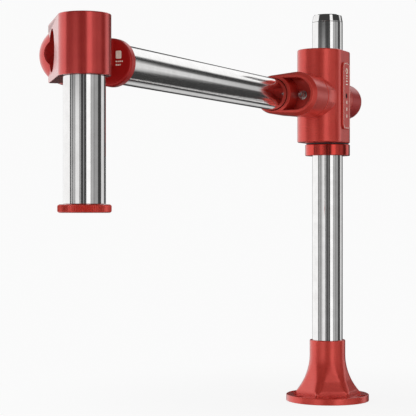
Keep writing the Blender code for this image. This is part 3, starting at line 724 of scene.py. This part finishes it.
def make_link():
    levels = rounded_ends(LINK_BACK, LINK_FACE, 1.0 * MM)[:6]
    levels = [(inset, inset, z) for inset, z in levels]
    # (tube side inset, pivot side inset, depth below the face) of the front chamfer, in mm
    chamfer = ((0.0, 0.0, 5.6), (0.0, 0.1, 5.0), (0.35, 0.9, 3.9), (1.1, 2.7, 1.3))
    chamfer += ((1.35, 3.2, 0.5), (1.7, 3.6, 0.1), (2.0, 3.9, 0.0))
    levels += [(left * MM, right * MM, LINK_FACE - depth * MM) for left, right, depth in chamfer]
    rings = []
    for left, right, z in levels:
        rings.append(raised(two_circles(ARM_X, LINK_TUBE_R - left, 0.0, LINK_R - right), z))
    link = loft("link_block_surface", rings, FORWARD)
    pocket = []
    for grow, z in ((0.0, POCKET_FLOOR), (0.0, LINK_FACE - 0.8 * MM), (0.25, LINK_FACE - 0.3 * MM),
                    (0.8, LINK_FACE), (0.8, LINK_FACE + 5 * MM)):
        pocket.append(raised(pocket_outline(grow * MM), z))
    cut(
        link,
        loft("pocket", pocket, FORWARD),
        bore(FIT_R, TUBE_START, LINK_FACE, TUBE_FORWARD, FINE, flare=0.8 * MM),
        peg(PIVOT_R + GAP, LINK_BACK - 5 * MM, PIVOT_END + GAP, FORWARD, SMALL),
        peg(PIVOT_SCREW_BORE_R, PIVOT_END - 5 * MM, POCKET_FLOOR + 5 * MM, FORWARD, SMALL),
    )
    holes = []
    for node in ("link_grub_screw_1", "link_grub_screw_2"):
        low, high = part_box(node)
        place = axes((0, 1, 0), (0, 0, -1), (-1, 0, 0), Vector((ARM_X, (low.y + high.y) / 2, ARM_Z)))
        holes.append(peg(GRUB_BORE_R, BORE_R, LINK_TUBE_R + 5 * MM, place, SMALL))
    cut(link, *holes)
    finish_piece(link, "link_block", RED)
    make_pivot_screw()


def make_pivot_screw():
    """A cap screw at the bottom of the pocket, on its washer."""
    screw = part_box("pivot_screw")
    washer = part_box("pivot_washer")
    shank_start, head_end = -screw[1].y, -screw[0].y
    seat = -washer[0].y + GAP
    radius = PIVOT_SCREW_HEAD_R
    ease = 0.5 * MM
    shank_r = PIVOT_SCREW_SHANK_R
    rings = [circle(shank_r - ease, shank_start, SMALL), circle(shank_r, shank_start + ease, SMALL)]
    rings += [circle(shank_r, seat, SMALL), circle(radius - 0.2 * MM, seat, SMALL)]
    rings += [circle(radius, seat + 0.2 * MM, SMALL)]
    for x, z in arc((radius - ease, head_end - ease), ease, 0, 90, 5):
        rings.append(circle(x, z, SMALL))
    rings.append(circle(2.75 * MM, head_end, SMALL))
    rings.append(hexagon(2.5 * MM, head_end - 0.35 * MM, SMALL))
    rings.append(hexagon(2.5 * MM, head_end - 2.8 * MM, SMALL))
    finish_piece(loft("pivot_screw_surface", rings, FORWARD), "pivot_screw", ZINC)
    low, high = -washer[1].y, -washer[0].y
    disc = tube("pivot_washer_surface", low, high, FORWARD, PIVOT_SCREW_BORE_R, PIVOT_WASHER_R, 0.25 * MM)
    finish_piece(disc, "pivot_washer", ZINC)


def make_end():
    """The plug on the arm's far end, its angled pad and the plain marks on its face."""
    plug_start = END_BACK - PLUG_LENGTH
    profile = [(SPIGOT_R - 1 * MM, plug_start), (SPIGOT_R, plug_start + 1 * MM)]
    profile += [(SPIGOT_R, END_BACK), (END_R, END_BACK)]
    profile += arc((END_R - END_ROUND_R, ARM_FACE - END_ROUND_R), END_ROUND_R, 0, 90, 8)
    end = turned("end_block_surface", profile, TUBE_FORWARD, ease=0.4 * MM)
    join(end, peg(PAD_R, PAD_FACE - 16 * MM, PAD_FACE + 4 * MM, TILT_SIDE))
    beside_badge = block((-25 * MM, 10 * MM), (-540 * MM, -ARM_FACE - 0.05 * MM), (0.35, 0.42))
    past_pad = block((-0.06, 0.06), (-0.06, 0.06), (PAD_FACE, PAD_FACE + 0.04), TILT_SIDE)
    cut(end, beside_badge, past_pad, peg(STUD_R + GAP, STUD_START - GAP, PAD_FACE + 5 * MM, TILT_SIDE, SMALL))
    finish_piece(end, "end_block", RED_PAINTED_SHADE_DARK)
    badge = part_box("end_badge")
    face = -badge[1].y
    centre = ((badge[0].x + badge[1].x) / 2, 0.0, (badge[0].z + badge[1].z) / 2)
    place = axes((1, 0, 0), (0, 0, 1), (0, -1, 0), Vector(centre))
    size = (badge[1].x - badge[0].x, badge[1].z - badge[0].z)
    rings = []
    for inset, height in ((0.0, 0.0), (0.0, 0.35), (0.12, 0.53), (0.3, 0.6)):
        inset *= MM
        outline = rounded_rectangle(size[0] - 2 * inset, size[1] - 2 * inset, 1.2 * MM - inset)
        rings.append(raised(outline, face + height * MM))
    plate = loft("end_badge_surface", rings, place)
    cut(plate, bore(1.1 * MM, face + 0.3 * MM, face + 0.6 * MM, place, SMALL, flare=0.1 * MM))
    finish_piece(plate, "end_badge", ENAMEL)
    for row, (z, widths) in enumerate(((-6.2, (1.5, 1.1, 1.8, 1.3)), (-9.4, (1.2, 1.6, 1.2))), 1):
        x = -3.2
        for column, bar_width in enumerate(widths, 1):
            spot = place @ Matrix.Translation(((x + bar_width / 2) * MM, z * MM, 0.0))
            dash = bar(f"end_mark_{row}_{column}", bar_width * MM, 1.5 * MM, ARM_FACE + 0.02 * MM, spot)
            mark(dash, "end_block")
            x += bar_width + 0.6


def head_outline(inset):
    """Plan of the head: a straight rear part that runs into a round nose (along, -across)."""
    radius = HEAD_R - inset
    nose = (HEAD_ALONG, -HEAD_ACROSS)
    inner = -(HEAD_INNER + inset)
    meet = math.degrees(math.asin((inner + HEAD_ACROSS) / radius))
    rear = 1.2 * MM
    outline = arc((inset + rear, inner - rear), rear, 90, 180, 5)
    outline += arc((inset + rear, -(HEAD_OUTER - inset) + rear), rear, 180, 270, 5)
    return outline + arc(nose, radius, -90, 180 - meet, 96)


def bulge_outline(inset):
    """The round rear of the head in (up, across), cut off at the head's inner face."""
    radius = BULGE_R - inset
    start = math.degrees(math.asin((HEAD_INNER + inset - BULGE_CENTRE[1]) / radius))
    return arc(BULGE_CENTRE, radius, start, 180 - start, 120)


def make_head():
    rings = []
    for inset, z in rounded_ends(-HEAD_HALF, HEAD_HALF, 1.2 * MM):
        rings.append(raised(head_outline(inset), z))
    head = loft("head_clamp_surface", rings, HEAD_PLAN)
    bulge_rings = []
    for inset, z in rounded_ends(0.0, BULGE_LENGTH, 1.2 * MM)[:6]:
        bulge_rings.append(raised(bulge_outline(inset + z * z / (2 * BULGE_CURVE_R)), z))
    for step in range(1, 21):
        z = 1.2 * MM + (BULGE_LENGTH - 1.2 * MM) * step / 20
        bulge_rings.append(raised(bulge_outline(z * z / (2 * BULGE_CURVE_R)), z))
    join(head, loft("bulge", bulge_rings, HEAD_REAR))
    middle = HEAD_START.z
    cut(
        head,
        peg(CROSS_R, CROSS_FLOOR, BULGE_CENTRE[1] + BULGE_R + 5 * MM, CROSS_SIDE, FINE),
        peg(STUD_R + 0.4 * MM, HEAD_INNER - 8 * MM, CROSS_FLOOR + 5 * MM, TILT_SIDE, SMALL),
        peg(LINER_R + GAP, middle - HEAD_HALF - 0.01, middle + HEAD_HALF + 0.01, DROP_DOWN, FINE),
    )
    holes = []
    for node in ("head_grub_screw_1", "head_grub_screw_2"):
        low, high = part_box(node)
        centre = Vector((DROP_X, DROP_Y, (low.z + high.z) / 2))
        place = axes(ALONG, -UP, -ACROSS, centre)
        holes.append(peg(GRUB_BORE_R, TUBE_R, HEAD_R + 5 * MM, place, SMALL))
    cut(head, *holes)
    finish_piece(head, "head_clamp", RED_HEAD_PAINTED_SHADE)


def make_knurled_cap():
    """The cap at the drop tube's foot, with V grooves cut round its rim."""
    low, high = CAP[0].z, CAP_HIGH
    count = 4 * CAP_TEETH
    rings = []
    # (inset in mm, height, how deep the grooves are there)
    levels = [(2.0, low, 0.0), (0.9, low + 0.35 * MM, 0.0)]
    levels += [(0.25, low + 1.0 * MM, 0.6), (0.0, low + 1.5 * MM, 1.0)]
    levels += [(inset, low + high - z, depth) for inset, z, depth in reversed(levels)]
    for inset, z, depth in levels:
        points = []
        for i in range(count):
            angle = 2 * math.pi * i / count
            valley = (0.0, 0.5, 1.0, 0.5)[i % 4]
            radius = CAP_R - inset * MM - CAP_TOOTH * depth * valley
            points.append((radius * math.cos(angle), radius * math.sin(angle), z))
        rings.append(points)
    for radius, z in ((SPIGOT_R, high), (SPIGOT_R, CAP[1].z - 1 * MM), (SPIGOT_R - 1 * MM, CAP[1].z)):
        rings.append(circle(radius, z, count))
    cap = loft("knurled_cap_surface", rings, DROP_DOWN)
    finish_piece(cap, "knurled_cap", RED, smooth=20.0)


def dress_remaining_nodes():
    """Every CAD node that still shows gets its slot's procedural finish."""
    for name, obj in frame["nodes"].items():
        look = SLOT_LOOKS[SLOT_OF[name]]
        if not obj.material_slots:
            obj.data.materials.append(look)
        for slot in obj.material_slots:
            slot.material = look
        obj.data.set_sharp_from_angle(angle=math.radians(32))


# ---------------------------------------------------------------- floor, light and camera

FLOOR_RADIUS = 1.3
PALE = 0.96

# The studio round the object, in degrees: bearing is measured from the camera, rightwards.
# (from bearing, to bearing, from elevation, to elevation, brightness, soft edge)
STUDIO = (
    (-164, -80, -40, 45, 1.00, 5),
    (-72, -64, -40, 6, 0.50, 3),
    (-60, -48, -40, 6, 0.45, 3),
    (-46, -22, -40, 6, 0.85, 4),
    (-19, -14, -40, 6, 0.40, 3),
    (-2, 3, -40, 6, 0.25, 3),
    (15, 38, -40, 45, 1.10, 4),
    (40, 56, -40, 18, 0.42, 4),
    (58, 82, -40, 18, 0.32, 4),
    (106, 129, -40, 45, 0.70, 5),
    (138, 172, 18, 50, 1.05, 5),
    (128, 136, -4, 8, 0.45, 4),
    (163, 178, -27, -15, 0.60, 5),
)
DARK = 0.05
# Even light that reaches matt surfaces only, so it brightens the red and leaves the steel dark.
FILL = 0.50


def value_node(tree, operation, *operands):
    node = tree.nodes.new("ShaderNodeMath")
    node.operation = operation
    for socket, operand in zip(node.inputs, operands):
        if isinstance(operand, (int, float)):
            socket.default_value = operand
        else:
            tree.links.new(operand, socket)
    return node.outputs["Value"]


def soft_step(tree, value, edge, width):
    step = tree.nodes.new("ShaderNodeMapRange")
    step.interpolation_type = "SMOOTHSTEP"
    step.inputs["From Min"].default_value = edge - width / 2
    step.inputs["From Max"].default_value = edge + width / 2
    tree.links.new(value, step.inputs["Value"])
    return step.outputs["Result"]


def between(tree, value, low, high, width):
    rise = soft_step(tree, value, low, width)
    fall = soft_step(tree, value, high, width)
    return value_node(tree, "SUBTRACT", rise, fall)


def make_studio():
    """Soft boxes painted on the world. The background itself is plain and pale."""
    world = bpy.data.worlds.new("studio")
    world.use_nodes = True
    tree = world.node_tree
    tree.nodes.clear()
    coordinates = tree.nodes.new("ShaderNodeTexCoord")
    split = tree.nodes.new("ShaderNodeSeparateXYZ")
    tree.links.new(coordinates.outputs["Generated"], split.inputs["Vector"])
    heading = value_node(tree, "ARCTAN2", split.outputs["Y"], split.outputs["X"])
    camera_heading = CAMERA_AZIMUTH - math.pi / 2
    turns = value_node(tree, "DIVIDE", value_node(tree, "SUBTRACT", heading, camera_heading), 2 * math.pi)
    wrapped = value_node(tree, "FRACT", value_node(tree, "ADD", turns, 0.5))
    bearing = value_node(tree, "MULTIPLY", value_node(tree, "SUBTRACT", wrapped, 0.5), 360.0)
    elevation = value_node(tree, "DEGREES", value_node(tree, "ARCSINE", split.outputs["Z"]))
    light = value_node(tree, "ADD", 0.0, DARK)
    for left, right, low, high, brightness, edge in STUDIO:
        across = between(tree, bearing, left, right, edge)
        up = between(tree, elevation, low, high, 5.0)
        box = value_node(tree, "MULTIPLY", value_node(tree, "MULTIPLY", across, up), brightness)
        light = value_node(tree, "ADD", light, box)
    path = tree.nodes.new("ShaderNodeLightPath")
    light = value_node(tree, "ADD", light, value_node(tree, "MULTIPLY", path.outputs["Is Diffuse Ray"], FILL))
    studio = tree.nodes.new("ShaderNodeBackground")
    tree.links.new(light, studio.inputs["Color"])
    backdrop = tree.nodes.new("ShaderNodeBackground")
    backdrop.inputs["Color"].default_value = (PALE, PALE, PALE, 1.0)
    mix = tree.nodes.new("ShaderNodeMixShader")
    output = tree.nodes.new("ShaderNodeOutputWorld")
    tree.links.new(path.outputs["Is Camera Ray"], mix.inputs["Fac"])
    tree.links.new(studio.outputs["Background"], mix.inputs[1])
    tree.links.new(backdrop.outputs["Background"], mix.inputs[2])
    tree.links.new(mix.outputs["Shader"], output.inputs["Surface"])
    bpy.context.scene.world = world


def make_floor():
    """A pale disc that fades into the backdrop, with only a faint shadow near the base."""
    bm = bmesh.new()
    rows = [[bm.verts.new(point) for point in circle(radius, 0.0, 96)] for radius in (0.3, 0.8, FLOOR_RADIUS)]
    bm.faces.new(rows[0])
    for inner, outer in zip(rows, rows[1:]):
        for i in range(96):
            j = (i + 1) % 96
            bm.faces.new((inner[i], outer[i], outer[j], inner[j]))
    mesh = bpy.data.meshes.new("floor")
    bm.to_mesh(mesh)
    bm.free()
    floor = bpy.data.objects.new("floor", mesh)
    bpy.context.scene.collection.objects.link(floor)
    made, tree, shader = new_material("pale_floor")
    set_values(shader, Base_Color=(0.92, 0.92, 0.92), Roughness=0.9, Specular_IOR_Level=0.1)
    glow = tree.nodes.new("ShaderNodeEmission")
    glow.inputs["Color"].default_value = (PALE, PALE, PALE, 1.0)
    coordinates = tree.nodes.new("ShaderNodeTexCoord")
    length = tree.nodes.new("ShaderNodeVectorMath")
    length.operation = "LENGTH"
    tree.links.new(coordinates.outputs["Object"], length.inputs[0])
    fade = tree.nodes.new("ShaderNodeMapRange")
    fade.interpolation_type = "SMOOTHSTEP"
    for name, value in (("From Min", 0.05), ("From Max", 0.45), ("To Min", 0.90), ("To Max", 1.0)):
        fade.inputs[name].default_value = value
    tree.links.new(length.outputs["Value"], fade.inputs["Value"])
    mix = tree.nodes.new("ShaderNodeMixShader")
    output = tree.nodes["Material Output"]
    tree.links.new(fade.outputs["Result"], mix.inputs["Fac"])
    tree.links.new(shader.outputs["BSDF"], mix.inputs[1])
    tree.links.new(glow.outputs["Emission"], mix.inputs[2])
    tree.links.new(mix.outputs["Shader"], output.inputs["Surface"])
    mesh.materials.append(made)
    floor.visible_glossy = False
    floor.visible_diffuse = False


def make_camera():
    back = Vector((math.sin(CAMERA_AZIMUTH), -math.cos(CAMERA_AZIMUTH), 0.0))
    right = Vector((math.cos(CAMERA_AZIMUTH), math.sin(CAMERA_AZIMUTH), 0.0))
    data = bpy.data.cameras.new("camera")
    data.sensor_width = 36.0
    data.lens = CAMERA_LENS
    data.shift_y = CAMERA_RISE
    camera = bpy.data.objects.new("camera", data)
    camera.location = back * CAMERA_DISTANCE - right * CAMERA_SHIFT_LEFT + UP * CAMERA_HEIGHT
    camera.rotation_euler = (math.radians(90), 0.0, CAMERA_AZIMUTH)
    bpy.context.scene.collection.objects.link(camera)
    bpy.context.scene.camera = camera


def main():
    make_camera()
    make_studio()
    make_floor()
    make_base()
    make_tubes()
    make_collar()
    make_sleeve()
    make_side_plate()
    make_lock_knob()
    make_link()
    make_end()
    make_head()
    make_knurled_cap()
    dress_remaining_nodes()
    bpy.context.scene.view_settings.view_transform = "Standard"


main()
